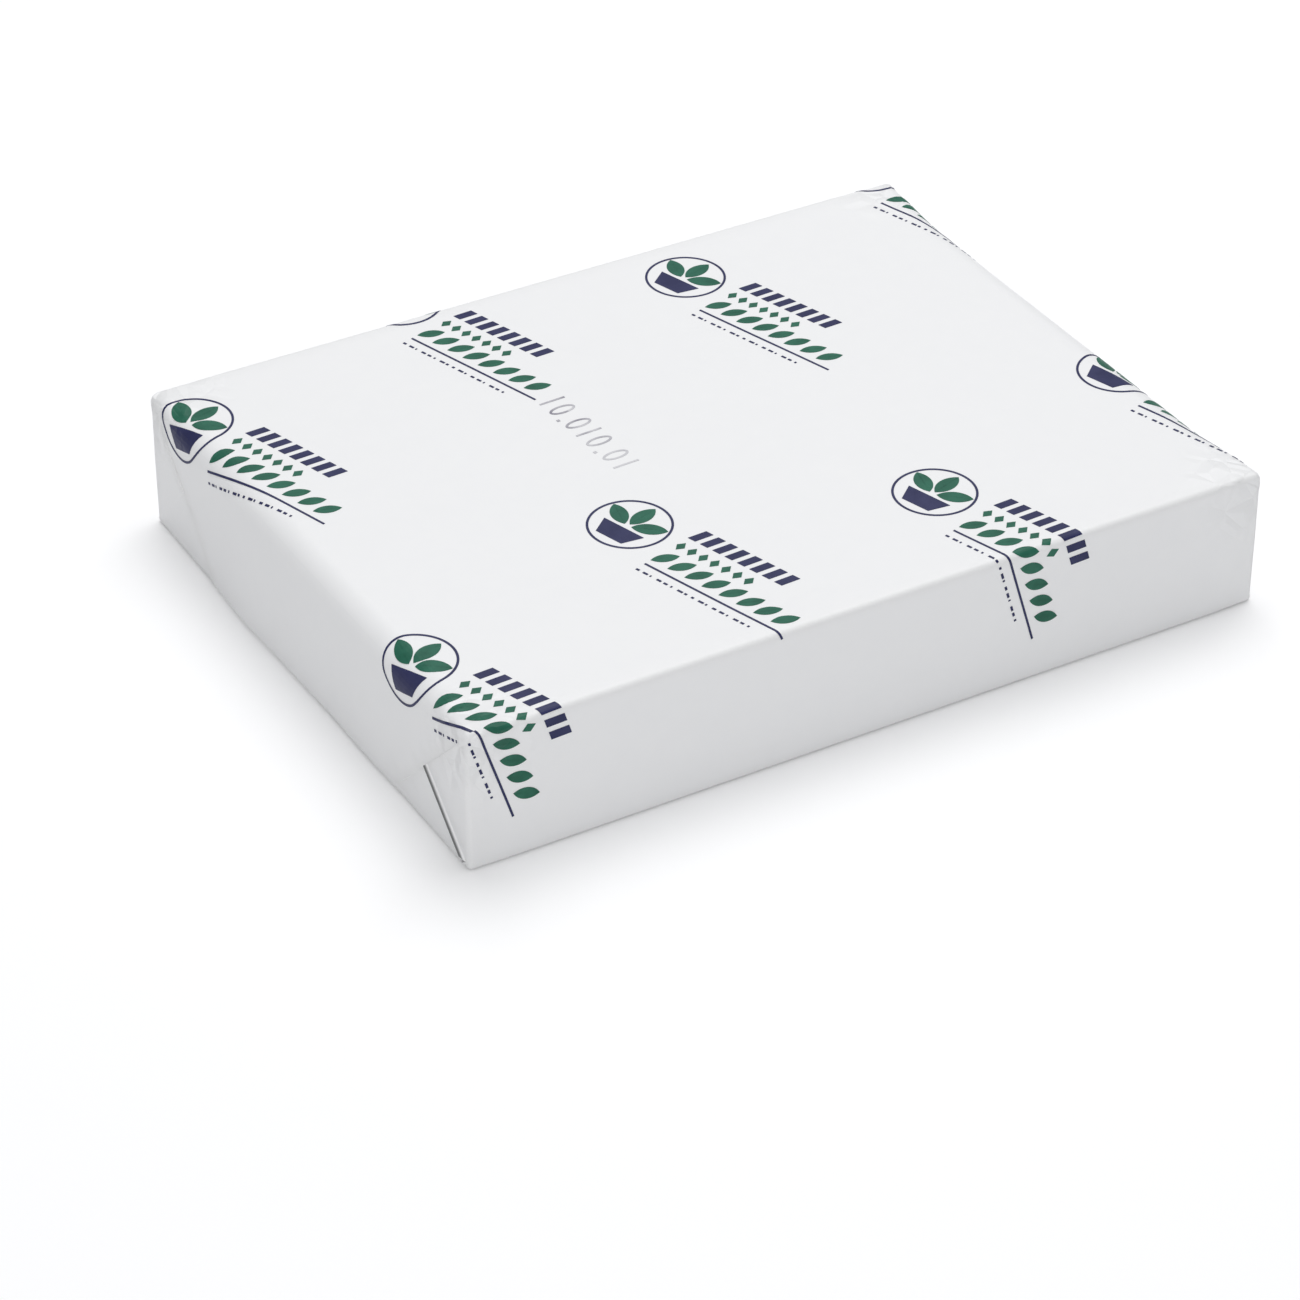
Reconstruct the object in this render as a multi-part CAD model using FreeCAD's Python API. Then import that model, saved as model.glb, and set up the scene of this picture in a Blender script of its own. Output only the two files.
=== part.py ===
"""A sealed ream of letter copy paper: 500 sheets in a printed, glued paper wrapper.

Frame: X runs along the long edges, Y across, +Z up. The origin is the centre of the underside.
The pack is one solid, because nobody can see into it. Each ink is a group of thin films on it.
"""
import FreeCAD, Part
import math
import os

from FreeCAD import Rotation, Vector

# The stack of paper, in millimetres
SHEET_LENGTH = 279.4
SHEET_WIDTH = 215.9
SHEET_COUNT = 500
SHEET_CALIPER = 0.0965

# The wrapper round it
WRAP_CALIPER = 0.12
END_SLACK = 0.8          # wrapper to the stack's short edges
SIDE_SLACK = 0.43        # wrapper to the stack's long edges
EDGE_RADIUS = 2.0        # every edge but the short ones at the top
ROLL_RADIUS = 6.0        # short edges at the top, where the wrapper is folded over softly

# The folded ends
FLAP_SWELL = 2.0         # top flap's lower edge, in front of the block's end
FLAP_STEP = 0.35         # from the top flap back to the lower flap
TUCK_STEP = 0.25         # from the lower flap back to the side tuck
FLAP_LIFT = 0.8          # lower edges of the flaps, above the underside
FLAP_ROOT = 3.0          # how far the flaps' solids reach back into the block

# The glued lap on the underside
LAP_EDGE = 38.0          # its free edge, from the middle line
LAP_STEP = 0.24

# The printed pattern: one mark, repeated in columns with every second one staggered
INK_THICKNESS = 0.12
MARK_ANGLE = -72.7       # direction of a mark's base line, from +X, in degrees
FIRST_COLUMN = -148.8    # left end of the first column's base lines
COLUMN_PITCH = 90.6
EVEN_ROW = -59.7
ODD_ROW = -28.5
ROW_PITCH = 152.4

# A leaf of the print, as points along its length and out from its midrib, in shares of its size
LEAF_OUTLINE = ((0, 0), (0.28, 0.5), (0.66, 0.44), (1, 0), (0.66, -0.44), (0.28, -0.5))

# The round emblem at the left of a mark: a sprig in a pot
RING_ALONG = 10.5
RING_UP = 10.5
RING_RADIUS = 13.5
RING_STROKE = 0.8
RING_SIDES = 20          # short straight strokes that make up the ring
POT_RIM_WIDTH = 16.5
POT_FOOT_WIDTH = 10.5
POT_RIM_LEVEL = -2.6     # from the emblem's centre
POT_FOOT_LEVEL = -9.6
SPRIG_LEVEL = -1.6       # foot of the sprig, from the emblem's centre
SPRIG_LEAF_LENGTH = 11.5
SPRIG_LEAF_WIDTH = 5.6
SPRIG_TURNS = (90.0, 30.0, 150.0)
SPRIG_GAP = 1.6          # from a leaf's foot to the foot of the sprig

# The rows at the right of the emblem
ROW_START = 28.5         # left end of each row's first figure
DASH_LEVEL = 17.0
DASH_COUNT = 8
DASH_PITCH = 5.0
DASH_WIDTH = 3.0
DASH_HEIGHT = 6.5
DASH_SLANT = 1.7
LOZENGE_LEVEL = 9.8
LOZENGE_COUNT = 7
LOZENGE_PITCH = 4.6
LOZENGE_WIDTH = 3.2
LOZENGE_HEIGHT = 4.6
LEAF_LEVEL = 0.4
LEAF_COUNT = 8
LEAF_PITCH = 6.9
LEAF_LENGTH = 9.0
LEAF_WIDTH = 4.0
LEAF_TURN = 56.0
RULE_LEVEL = -2.6
RULE_LENGTH = 56.0
RULE_STROKE = 0.75

# Worked out from the sizes above
LENGTH = SHEET_LENGTH + 2 * END_SLACK
WIDTH = SHEET_WIDTH + 2 * (SIDE_SLACK + WRAP_CALIPER)
HEIGHT = SHEET_COUNT * SHEET_CALIPER + 3 * WRAP_CALIPER
BEYOND = 2 * (LENGTH + WIDTH)    # longer than anything in the pack
BEND_SAVING = 2 - math.sqrt(2)   # of a radius: a bend cut at 45 degrees, against its sharp corner

X_AXIS = Vector(1, 0, 0)
Z_AXIS = Vector(0, 0, 1)
ORIGIN = Vector(0, 0, 0)


def closed(points):
    """A polygon wire through points."""
    return Part.makePolygon(list(points) + [points[0]])


def prismatoid(first, second):
    """The solid between two flat polygons with as many corners, its sides cut into triangles."""
    faces = [Part.Face(closed(first)), Part.Face(closed(second))]
    for k in range(len(first)):
        after = (k + 1) % len(first)
        faces.append(Part.Face(closed([first[k], first[after], second[after]])))
        faces.append(Part.Face(closed([first[k], second[after], second[k]])))
    solid = Part.makeSolid(Part.makeShell(faces))
    return solid if solid.Volume > 0 else solid.reversed()


def block(grow=0.0):
    """The wrapped stack without its folds, grown outwards by grow."""
    half_length = LENGTH / 2 + grow
    half_width = WIDTH / 2 + grow
    body = Part.makeBox(
        2 * half_length, 2 * half_width, HEIGHT + 2 * grow,
        Vector(-half_length, -half_width, -grow),
    )

    def across(level):
        """The two edges along Y at one level."""
        return [
            edge for edge in body.Edges
            if edge.BoundBox.YLength > half_width and abs(edge.CenterOfMass.z - level) < 0.01
            and abs(abs(edge.CenterOfMass.x) - half_length) < 0.01
        ]

    body = body.makeFillet(ROLL_RADIUS + grow, across(HEIGHT + grow))
    rims = [
        edge for edge in body.Edges
        if edge.BoundBox.YLength < 0.01 and abs(abs(edge.CenterOfMass.y) - half_width) < 0.01
    ]
    return body.makeFillet(EDGE_RADIUS + grow, rims + across(-grow))


def flap_front(z):
    """The top flap's distance in front of the block's end, at a height z."""
    start = HEIGHT - ROLL_RADIUS
    return FLAP_SWELL * (start - z) / (start - FLAP_LIFT)


def end_layer(side, grow, outline):
    """One layer of a folded end, over the block's end. Each corner is (y, z, distance in front)."""
    plane = LENGTH / 2 + grow
    return prismatoid(
        [Vector(side * (plane - FLAP_ROOT), y, z) for y, z, _ in outline],
        [Vector(side * (plane + front), y, z) for y, z, front in outline],
    )


def end_folds(grow=0.0):
    """The three layers of each folded end: side tucks, lower flaps and the top flap over them."""
    start = HEIGHT - ROLL_RADIUS
    mitre = HEIGHT / 2
    corner = WIDTH / 2 - EDGE_RADIUS
    shoulder = WIDTH / 2 - ROLL_RADIUS
    point = WIDTH / 2 - mitre
    toe = WIDTH / 2 - HEIGHT + FLAP_LIFT
    top = flap_front(FLAP_LIFT)
    lower = flap_front(mitre) - FLAP_STEP
    layers = []
    for side in (-1, 1):
        layers.append(end_layer(side, grow, [
            (shoulder, start, 0), (toe, FLAP_LIFT, top), (-toe, FLAP_LIFT, top), (-shoulder, start, 0),
        ]))
        for hand in (-1, 1):
            layers.append(end_layer(side, grow, [
                (hand * corner, FLAP_LIFT, 0), (hand * point, mitre, lower), (hand * toe, FLAP_LIFT, top - FLAP_STEP),
            ]))
            layers.append(end_layer(side, grow, [
                (hand * corner, FLAP_LIFT, 0), (hand * shoulder, start, 0), (hand * point, mitre, lower - TUCK_STEP),
            ]))
    return layers


def folded_block(grow=0.0):
    """The block with the layers of its folded ends."""
    return block(grow).fuse(end_folds(grow)).removeSplitter()


def wrapped_ream():
    """The sealed pack, with its folded ends and the glued lap underneath."""
    recess = Part.makeBox(BEYOND, BEYOND, HEIGHT, Vector(-BEYOND / 2, LAP_EDGE, LAP_STEP - HEIGHT))
    return folded_block().cut(recess)


def polygon(points):
    """A flat face from points along and up from the left end of a mark's base line."""
    return Part.Face(closed([Vector(u, v, 0) for u, v in points]))


def leaf(u, v, length, width, turn):
    """A pointed leaf from its foot at (u, v), turned anticlockwise from the base line."""
    turned = Rotation(Z_AXIS, turn)
    points = [turned.multVec(Vector(along * length, out * width, 0)) for along, out in LEAF_OUTLINE]
    return polygon([(u + point.x, v + point.y) for point in points])


def ring():
    """The outline of the round emblem."""
    def disc(radius):
        """A regular polygon about the emblem's centre."""
        turns = [2 * math.pi * k / RING_SIDES for k in range(RING_SIDES)]
        return polygon([(RING_ALONG + radius * math.cos(t), RING_UP + radius * math.sin(t)) for t in turns])

    return disc(RING_RADIUS).cut(disc(RING_RADIUS - RING_STROKE)).Faces[0]


def pot():
    """The flower pot in the emblem."""
    rim = RING_UP + POT_RIM_LEVEL
    foot = RING_UP + POT_FOOT_LEVEL
    return polygon([
        (RING_ALONG - POT_FOOT_WIDTH / 2, foot), (RING_ALONG + POT_FOOT_WIDTH / 2, foot),
        (RING_ALONG + POT_RIM_WIDTH / 2, rim), (RING_ALONG - POT_RIM_WIDTH / 2, rim),
    ])


def sprig():
    """The leaves of the emblem, fanned out from one foot above the pot."""
    leaves = []
    for turn in SPRIG_TURNS:
        u = RING_ALONG + SPRIG_GAP * math.cos(math.radians(turn))
        v = RING_UP + SPRIG_LEVEL + SPRIG_GAP * math.sin(math.radians(turn))
        leaves.append(leaf(u, v, SPRIG_LEAF_LENGTH, SPRIG_LEAF_WIDTH, turn))
    return leaves


def slanted_dashes():
    """The upper row."""
    dashes = []
    for k in range(DASH_COUNT):
        u = ROW_START + k * DASH_PITCH
        v = DASH_LEVEL + DASH_HEIGHT
        dashes.append(polygon([
            (u, DASH_LEVEL), (u + DASH_WIDTH, DASH_LEVEL),
            (u + DASH_WIDTH + DASH_SLANT, v), (u + DASH_SLANT, v),
        ]))
    return dashes


def lozenges():
    """The middle row."""
    figures = []
    middle = LOZENGE_LEVEL + LOZENGE_HEIGHT / 2
    for k in range(LOZENGE_COUNT):
        u = ROW_START + k * LOZENGE_PITCH
        centre = u + LOZENGE_WIDTH / 2
        figures.append(polygon([
            (u, middle), (centre, LOZENGE_LEVEL),
            (u + LOZENGE_WIDTH, middle), (centre, LOZENGE_LEVEL + LOZENGE_HEIGHT),
        ]))
    return figures


def leaf_row():
    """The lower row."""
    return [
        leaf(ROW_START + k * LEAF_PITCH, LEAF_LEVEL, LEAF_LENGTH, LEAF_WIDTH, LEAF_TURN)
        for k in range(LEAF_COUNT)
    ]


def rule():
    """The thin line under the rows."""
    end = ROW_START + RULE_LENGTH
    top = RULE_LEVEL + RULE_STROKE
    return polygon([(ROW_START, RULE_LEVEL), (end, RULE_LEVEL), (end, top), (ROW_START, top)])


def mark_places():
    """Left ends of the base lines, for every mark that can reach the top, a side or an end."""
    margin = HEIGHT + ROW_START + RULE_LENGTH

    def steps(half, first, pitch):
        low = math.floor((-half - margin - first) / pitch)
        high = math.ceil((half + margin - first) / pitch)
        return range(low, high + 1)

    places = []
    for column in steps(LENGTH / 2, FIRST_COLUMN, COLUMN_PITCH):
        first = EVEN_ROW if column % 2 == 0 else ODD_ROW
        for row in steps(WIDTH / 2, first, ROW_PITCH):
            places.append(Vector(FIRST_COLUMN + column * COLUMN_PITCH, first + row * ROW_PITCH, 0))
    return places


def flat_sheet(figures):
    """The figures of every mark on the unfolded wrapper, with the top panel in its place."""
    sheet = []
    for place in mark_places():
        for figure in figures:
            face = figure.copy()
            face.rotate(ORIGIN, Z_AXIS, MARK_ANGLE)
            face.translate(place)
            sheet.append(face)
    return sheet


def touching(sheet, x_low, x_high, y_low, y_high):
    """The faces of the flat sheet that reach into one panel of it."""
    panel = FreeCAD.BoundBox(x_low, y_low, -1, x_high, y_high, 1)
    return [face for face in sheet if face.BoundBox.intersect(panel)]


def corners(half_x, half_y, level):
    """The corners of a rectangle about the Z axis."""
    return [Vector(x, y, level) for x, y in (
        (-half_x, -half_y), (half_x, -half_y), (half_x, half_y), (-half_x, half_y),
    )]


def films(faces, push, flat_part, skin):
    """Faces made into films: straight ones on the flat part of a wall, and the rest cut from its skin."""
    ink = []
    for face in faces:
        if flat_part.isInside(face.BoundBox):
            ink.append(face.extrude(push * INK_THICKNESS))
            continue
        prism = face.extrude(push * HEIGHT)
        prism.translate(push * (-HEIGHT / 2))
        if prism.BoundBox.intersect(skin.BoundBox):
            ink += skin.common(prism).Solids
    return ink


def top_films(sheet, skin):
    """The films on the top, down to the middle of each rounded edge."""
    half_x = LENGTH / 2
    half_y = WIDTH / 2
    depth = ROLL_RADIUS + EDGE_RADIUS
    zone = prismatoid(
        corners(half_x - depth, half_y - depth, HEIGHT - depth),
        corners(half_x + depth, half_y + depth, HEIGHT + depth),
    )
    faces = [face.copy() for face in touching(sheet, -half_x, half_x, -half_y, half_y)]
    for face in faces:
        face.translate(Vector(0, 0, HEIGHT))
    half_x -= ROLL_RADIUS
    half_y -= EDGE_RADIUS
    flat_part = FreeCAD.BoundBox(-half_x, -half_y, 0, half_x, half_y, BEYOND)
    return films(faces, Z_AXIS, flat_part, skin.common(zone))


def fold_down(faces, turn, half, radius):
    """Faces of the flat sheet, turned down onto the wall that stands at a distance half."""
    for face in faces:
        face.rotate(ORIGIN, Z_AXIS, -turn)
        face.translate(Vector(0, half - BEND_SAVING * radius, 0))
        face.rotate(ORIGIN, X_AXIS, 90)
        face.translate(Vector(0, -half, HEIGHT))
        face.rotate(ORIGIN, Z_AXIS, turn)


def side_films(sheet, skin, side):
    """The films on one long wall, near for -1 and far for 1."""
    turn = 0 if side < 0 else 180
    half = WIDTH / 2
    depth = HEIGHT / 2 - EDGE_RADIUS / 2
    zone = prismatoid(
        corners(LENGTH / 2 - depth, HEIGHT / 2 - depth, half - depth),
        corners(LENGTH / 2 + depth, HEIGHT / 2 + depth, half + depth),
    )
    zone.rotate(ORIGIN, X_AXIS, 90)
    zone.translate(Vector(0, 0, HEIGHT / 2))
    zone.rotate(ORIGIN, Z_AXIS, turn)
    limits = sorted((side * (half - EDGE_RADIUS), side * (half + HEIGHT)))
    faces = [face.copy() for face in touching(sheet, -LENGTH / 2, LENGTH / 2, *limits)]
    fold_down(faces, turn, half, EDGE_RADIUS)
    clear = LENGTH / 2 - EDGE_RADIUS
    flat_part = FreeCAD.BoundBox(-clear, -BEYOND, EDGE_RADIUS, clear, BEYOND, HEIGHT - EDGE_RADIUS)
    return films(faces, Vector(0, side, 0), flat_part, skin.common(zone))


def end_films(sheet, skin, side):
    """The films on one end, left for -1 and right for 1: only the top flap shows its print."""
    half = LENGTH / 2
    depth = ROLL_RADIUS + FLAP_SWELL

    def outline(reach):
        """The top flap's outline at a distance reach outside the block's end."""
        foot = WIDTH / 2 - HEIGHT
        brow = HEIGHT + reach
        edge = foot + brow
        return [
            Vector(side * (half + reach), y, z)
            for y, z in ((edge, brow), (foot, 0), (-foot, 0), (-edge, brow))
        ]

    zone = prismatoid(outline(-depth), outline(depth))
    limits = sorted((side * (half - ROLL_RADIUS), side * (half + HEIGHT)))
    faces = [face.copy() for face in touching(sheet, *limits, -WIDTH / 2, WIDTH / 2)]
    fold_down(faces, side * 90, half, ROLL_RADIUS)
    nowhere = FreeCAD.BoundBox(0, 0, 0, 0, 0, 0)
    return films(faces, Vector(side, 0, 0), nowhere, skin.common(zone))


def printing(figures, skin):
    """One ink: the figures of every mark, as thin films on the pack."""
    sheet = flat_sheet(figures)
    ink = top_films(sheet, skin)
    for side in (-1, 1):
        ink += side_films(sheet, skin, side)
        ink += end_films(sheet, skin, side)
    return Part.makeCompound(ink)


def write(node, shape):
    """Save one node."""
    print(node, shape.isValid(), len(shape.Solids), round(shape.Volume, 1), shape.BoundBox)
    shape.exportStep("parts/%s.step" % node)


if __name__ == "__main__":
    os.makedirs("parts", exist_ok=True)
    outer_skin = folded_block(INK_THICKNESS).cut(folded_block())
    write("wrapped_ream", wrapped_ream())
    write("navy_print", printing([ring(), pot(), rule()] + slanted_dashes(), outer_skin))
    write("green_print", printing(sprig() + lozenges() + leaf_row(), outer_skin))
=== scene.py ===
import math

import bmesh
import bpy
from mathutils import Matrix, Vector, noise


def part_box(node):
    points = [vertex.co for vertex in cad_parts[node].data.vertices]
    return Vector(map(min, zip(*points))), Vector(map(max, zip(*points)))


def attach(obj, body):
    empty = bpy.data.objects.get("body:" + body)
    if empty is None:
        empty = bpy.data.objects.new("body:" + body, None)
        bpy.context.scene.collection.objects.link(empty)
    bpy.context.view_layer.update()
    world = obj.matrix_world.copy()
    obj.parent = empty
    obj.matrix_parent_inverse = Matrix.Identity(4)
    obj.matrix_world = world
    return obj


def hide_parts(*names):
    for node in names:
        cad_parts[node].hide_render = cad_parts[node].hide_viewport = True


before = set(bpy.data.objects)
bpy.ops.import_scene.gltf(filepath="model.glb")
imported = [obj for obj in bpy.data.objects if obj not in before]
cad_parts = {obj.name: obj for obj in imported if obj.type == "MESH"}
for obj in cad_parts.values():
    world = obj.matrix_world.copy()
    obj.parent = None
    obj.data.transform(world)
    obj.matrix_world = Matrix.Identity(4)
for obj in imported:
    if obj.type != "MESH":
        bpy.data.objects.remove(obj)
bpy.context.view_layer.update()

bpy.ops.object.select_all(action="DESELECT")

# The wrapper, with the 500 sheets inside it: one piece of white coated paper, folded tight over
# the long edges and softly over the short ones at the top. Its ends are folded in like a
# parcel's and glued, and its two long borders are glued over each other underneath.
REAM_HIGH = Vector(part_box("wrapped_ream")[1])
FLAP_SWELL = 0.002
HALF_LENGTH = REAM_HIGH.x - FLAP_SWELL
HALF_WIDTH = REAM_HIGH.y
HEIGHT = REAM_HIGH.z
UNDERSIDE = 0.00015
EDGE_RADIUS = 0.0021
EDGE_SEGMENTS = 5
SOFT_RADIUS = 0.0095
SOFT_SEGMENTS = 12
TIGHT_RADIUS = 0.0024
FOOT_RADIUS = 0.001
FOOT_LIFT = 0.0004
FOOT_RUN = 0.009
ROLL_RUN = 0.036
FLAP_STEP = 0.0004
TUCK_STEP = 0.0003
FLAP_LIFT = 0.0008
SLIT_WIDTH = 0.0006
SLIT_DEPTH = 0.0014
SLIT_RISE = 0.004
SLIT_START = 0.003
LIP_LEVEL = 0.0008
LIP_HEIGHT = 0.0004
# The top flap's lower edge on the left end: how far it stands out at places across it
SWELL = (
    (-0.1, 0.0001), (-0.062, 0.0004), (-0.043, 0.0009), (-0.021, 0.0007), (0.01, 0.0013),
    (0.038, 0.0021), (0.067, 0.0012), (0.08, 0.0003), (0.1, 0.0001),
)
CORNER_RUN = 0.018
RIGHT_SLACK = 0.0006
LEFT_SLACK = 0.0004
SLACK_RISE = 0.008
CRUMPLE = 0.0004
CRUMPLE_REACH = 0.028
CRUMPLE_SIZE = 0.009
STEP_WIDTH = 0.0002
LAP_EDGE = 0.038
LAP_STEP = 0.00024
CREASE_REACH = 0.0035
WAVE = 0.00025
WAVE_LENGTH = 0.045
CALM_TOP = 0.02
CALM_WALL = 0.01
END_SPACING = 0.004
MIDDLE_SPACING = 0.009
END_ZONE = 0.045
PAPER_WHITE = (0.86, 0.862, 0.866, 1.0)
PAPER_CLOUD = (0.84, 0.843, 0.85, 1.0)
PAPER_WORN = (0.78, 0.78, 0.775, 1.0)
# Painted shade for the end slit and the foot: the dark colour mixed in there in place of their shadow.
PAINTED_GAP_SHADE = (0.15, 0.155, 0.155, 1.0)
# Painted contact shadow along the foot: how much of that colour at the ends and at the long walls, and up to
# what height.
FOOT_SHADE_AT_END = 0.55
FOOT_SHADE_AT_SIDE = 0.38
FOOT_SHADE_HEIGHT = 0.0005


def pick(kind, test):
    """Select what passes a test on its own middle, in edit mode."""
    form = bmesh.from_edit_mesh(bpy.context.edit_object.data)
    bpy.ops.mesh.select_all(action="DESELECT")
    for item in getattr(form, kind):
        corners = [vertex.co for vertex in item.verts]
        item.select_set(test(item, sum(corners, Vector()) / len(corners)))
    form.select_flush_mode()
    bmesh.update_edit_mesh(bpy.context.edit_object.data)


def cut_all(point, normal):
    """Cut the whole mesh along a plane."""
    bpy.ops.mesh.select_all(action="SELECT")
    bpy.ops.mesh.bisect(plane_co=point, plane_no=normal)


def spaced(half, step_near, zone, step_middle):
    """Places across a panel: close together near its two borders and wider apart between them."""
    near = max(1, round(zone / step_near))
    middle = max(1, round(2 * (half - zone) / step_middle))
    places = [-half + zone * k / near for k in range(1, near + 1)]
    places += [-half + zone + 2 * (half - zone) * k / middle for k in range(1, middle)]
    places += [half - zone * k / near for k in range(1, near + 1)]
    return places


def ease(share):
    """A smooth rise from 0 to 1."""
    share = min(1.0, max(0.0, share))
    return share * share * (3 - 2 * share)


def cut_net():
    """Cut what is being edited into a net that can follow the paper."""
    for x in spaced(HALF_LENGTH - SOFT_RADIUS, END_SPACING, END_ZONE, MIDDLE_SPACING):
        cut_all((x, 0, 0), (1, 0, 0))
    for y in spaced(HALF_WIDTH - EDGE_RADIUS, END_SPACING, END_ZONE / 2, END_SPACING * 1.5):
        cut_all((0, y, 0), (0, 1, 0))
    for z in spaced(HEIGHT / 2, END_SPACING * 0.9, HEIGHT / 2 - 0.001, END_SPACING):
        cut_all((0, 0, HEIGHT / 2 + z), (0, 0, 1))


def folded_block():
    """The sharp stack with its rounded edges, cut into its net."""
    bpy.ops.mesh.primitive_cube_add(size=1, location=(0, 0, HEIGHT / 2))
    block = bpy.context.object
    block.name = "wrapper"
    block.scale = (2 * HALF_LENGTH, 2 * HALF_WIDTH, HEIGHT)
    bpy.ops.object.transform_apply(location=True, rotation=True, scale=True)
    bpy.ops.object.mode_set(mode="EDIT")
    bpy.ops.mesh.select_mode(type="EDGE")
    pick("edges", lambda edge, middle: abs(middle.y) < 0.001
         and middle.z > HEIGHT - 0.001 and abs(middle.x) > 0.1)
    bpy.ops.mesh.bevel(offset=SOFT_RADIUS, segments=SOFT_SEGMENTS, affect="EDGES")
    pick("edges", lambda edge, middle: abs(abs(middle.y) - HALF_WIDTH) < 1e-5
         or (middle.z < 1e-5 and abs(middle.x) > HALF_LENGTH - 1e-5))
    bpy.ops.mesh.bevel(offset=EDGE_RADIUS, segments=EDGE_SEGMENTS, affect="EDGES")
    cut_net()
    for y in (LAP_EDGE, LAP_EDGE + STEP_WIDTH):
        cut_all((0, y, 0), (0, 1, 0))
    return block


def score_ends():
    """Cut the slanting lines of the folds into both ends, each as two or three lines side by side."""
    corner_reach = HALF_WIDTH - EDGE_RADIUS

    def on_flat_end(face, middle):
        return abs(face.normal.x) > 0.9 and abs(middle.y) < corner_reach

    bpy.ops.mesh.select_mode(type="FACE")
    for hand in (-1, 1):
        for shift in (0, STEP_WIDTH):
            pick("faces", on_flat_end)
            bpy.ops.mesh.bisect(plane_co=(0, hand * (HALF_WIDTH + shift), HEIGHT), plane_no=(0, hand, -1))

        def beyond_flap(face, middle):
            fold = HALF_WIDTH - HEIGHT + middle.z + STEP_WIDTH
            return on_flat_end(face, middle) and hand * middle.y > fold

        for shift in (-SLIT_WIDTH, 0, SLIT_WIDTH):
            pick("faces", beyond_flap)
            bpy.ops.mesh.bisect(plane_co=(0, hand * (HALF_WIDTH + shift), 0), plane_no=(0, hand, 1))


def roll_radius(y):
    """Radius of the fold over a short top edge: tight at its corners and loose between them."""
    share = ease((HALF_WIDTH - abs(y)) / ROLL_RUN)
    loose = SOFT_RADIUS * (0.92 + 0.08 * noise.noise(Vector((y / WAVE_LENGTH, 3.1, 0))))
    return TIGHT_RADIUS + (loose - TIGHT_RADIUS) * share


def squared(along, up, wide, radius):
    """How far to move a point of a round fold outwards, to give the fold a smaller radius."""
    shift = wide - radius
    turn = math.atan2(up, along)
    flat = math.atan2(shift, wide)
    if turn < flat:
        return 1 / math.cos(turn)
    if turn > math.pi / 2 - flat:
        return 1 / math.sin(turn)
    lean = shift * (math.cos(turn) + math.sin(turn))
    return (lean + math.sqrt(lean * lean - 2 * shift * shift + radius * radius)) / wide


def tighten(point):
    """Move a point of the soft fold out towards the corner, where the fold is tighter there."""
    along = abs(point.x) - (HALF_LENGTH - SOFT_RADIUS)
    up = point.z - (HEIGHT - SOFT_RADIUS)
    if along <= 0 or up <= 0:
        return point.copy()
    scale = squared(along, up, SOFT_RADIUS, roll_radius(point.y))
    return Vector((
        math.copysign(HALF_LENGTH - SOFT_RADIUS + along * scale, point.x),
        point.y,
        HEIGHT - SOFT_RADIUS + up * scale,
    ))


def pressed_foot(point):
    """The folds at the table: pressed sharper than the others, and just clear of the table."""
    moved = point.copy()
    for axis, half in ((1, HALF_WIDTH), (0, HALF_LENGTH)):
        along = abs(moved[axis]) - (half - EDGE_RADIUS)
        down = EDGE_RADIUS - moved.z
        if along > 0 and down > 0:
            scale = squared(along, down, EDGE_RADIUS, FOOT_RADIUS)
            moved[axis] = math.copysign(min(half, half - EDGE_RADIUS + along * scale), moved[axis])
            moved.z = max(0.0, EDGE_RADIUS - down * scale)
    beside = min(HALF_WIDTH - abs(moved.y), HALF_LENGTH - abs(moved.x))
    moved.z += FOOT_LIFT * (1 - ease(beside / FOOT_RUN)) * (1 - ease(moved.z / FOOT_RUN))
    return moved


def swell_at(y):
    """How far the top flap's lower edge stands out, at a place across the end."""
    for (start, low), (stop, high) in zip(SWELL, SWELL[1:]):
        if y <= stop:
            return low + (high - low) * ease((y - start) / (stop - start))
    return SWELL[-1][1]


def flap_front(y, z):
    """How far the top flap stands in front of the stack's end."""
    return swell_at(y) * ease((HEIGHT - z) / HEIGHT)


def plane_front(y, z, corners):
    """A flat layer's distance in front of the end, from three corners given as (y, z, front)."""
    (ya, za, fa), (yb, zb, fb), (yc, zc, fc) = corners
    area = (yb - ya) * (zc - za) - (yc - ya) * (zb - za)
    share_b = ((y - ya) * (zc - za) - (yc - ya) * (z - za)) / area
    share_c = ((yb - ya) * (z - za) - (y - ya) * (zb - za)) / area
    return fa + share_b * (fb - fa) + share_c * (fc - fa)


def end_front(y, z):
    """How far the outermost layer stands in front of the stack's end, with the slit between two."""
    hand = math.copysign(1, y)
    across = abs(y)
    corner = HALF_WIDTH - EDGE_RADIUS
    if across >= corner:
        return 0.0
    if across <= HALF_WIDTH - HEIGHT + z + STEP_WIDTH * 0.5:
        return flap_front(y, z)
    tip = HALF_WIDTH - HEIGHT / 2
    tip_front = flap_front(hand * tip, HEIGHT / 2)
    foot = HALF_WIDTH - HEIGHT
    slit = across + z - HALF_WIDTH
    if slit < -SLIT_WIDTH * 0.5:
        return plane_front(across, z, (
            (corner, 0, 0), (tip, HEIGHT / 2, tip_front - FLAP_STEP),
            (foot, 0, flap_front(hand * foot, 0) - FLAP_STEP),
        ))
    front = plane_front(across, z, (
        (corner, 0, 0), (corner, HEIGHT, 0), (tip, HEIGHT / 2, tip_front - FLAP_STEP - TUCK_STEP),
    ))
    if slit < SLIT_WIDTH * 0.5 and hand < 0:
        front -= SLIT_DEPTH * ease((HALF_WIDTH - across) / SLIT_RISE)
    return front


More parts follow.
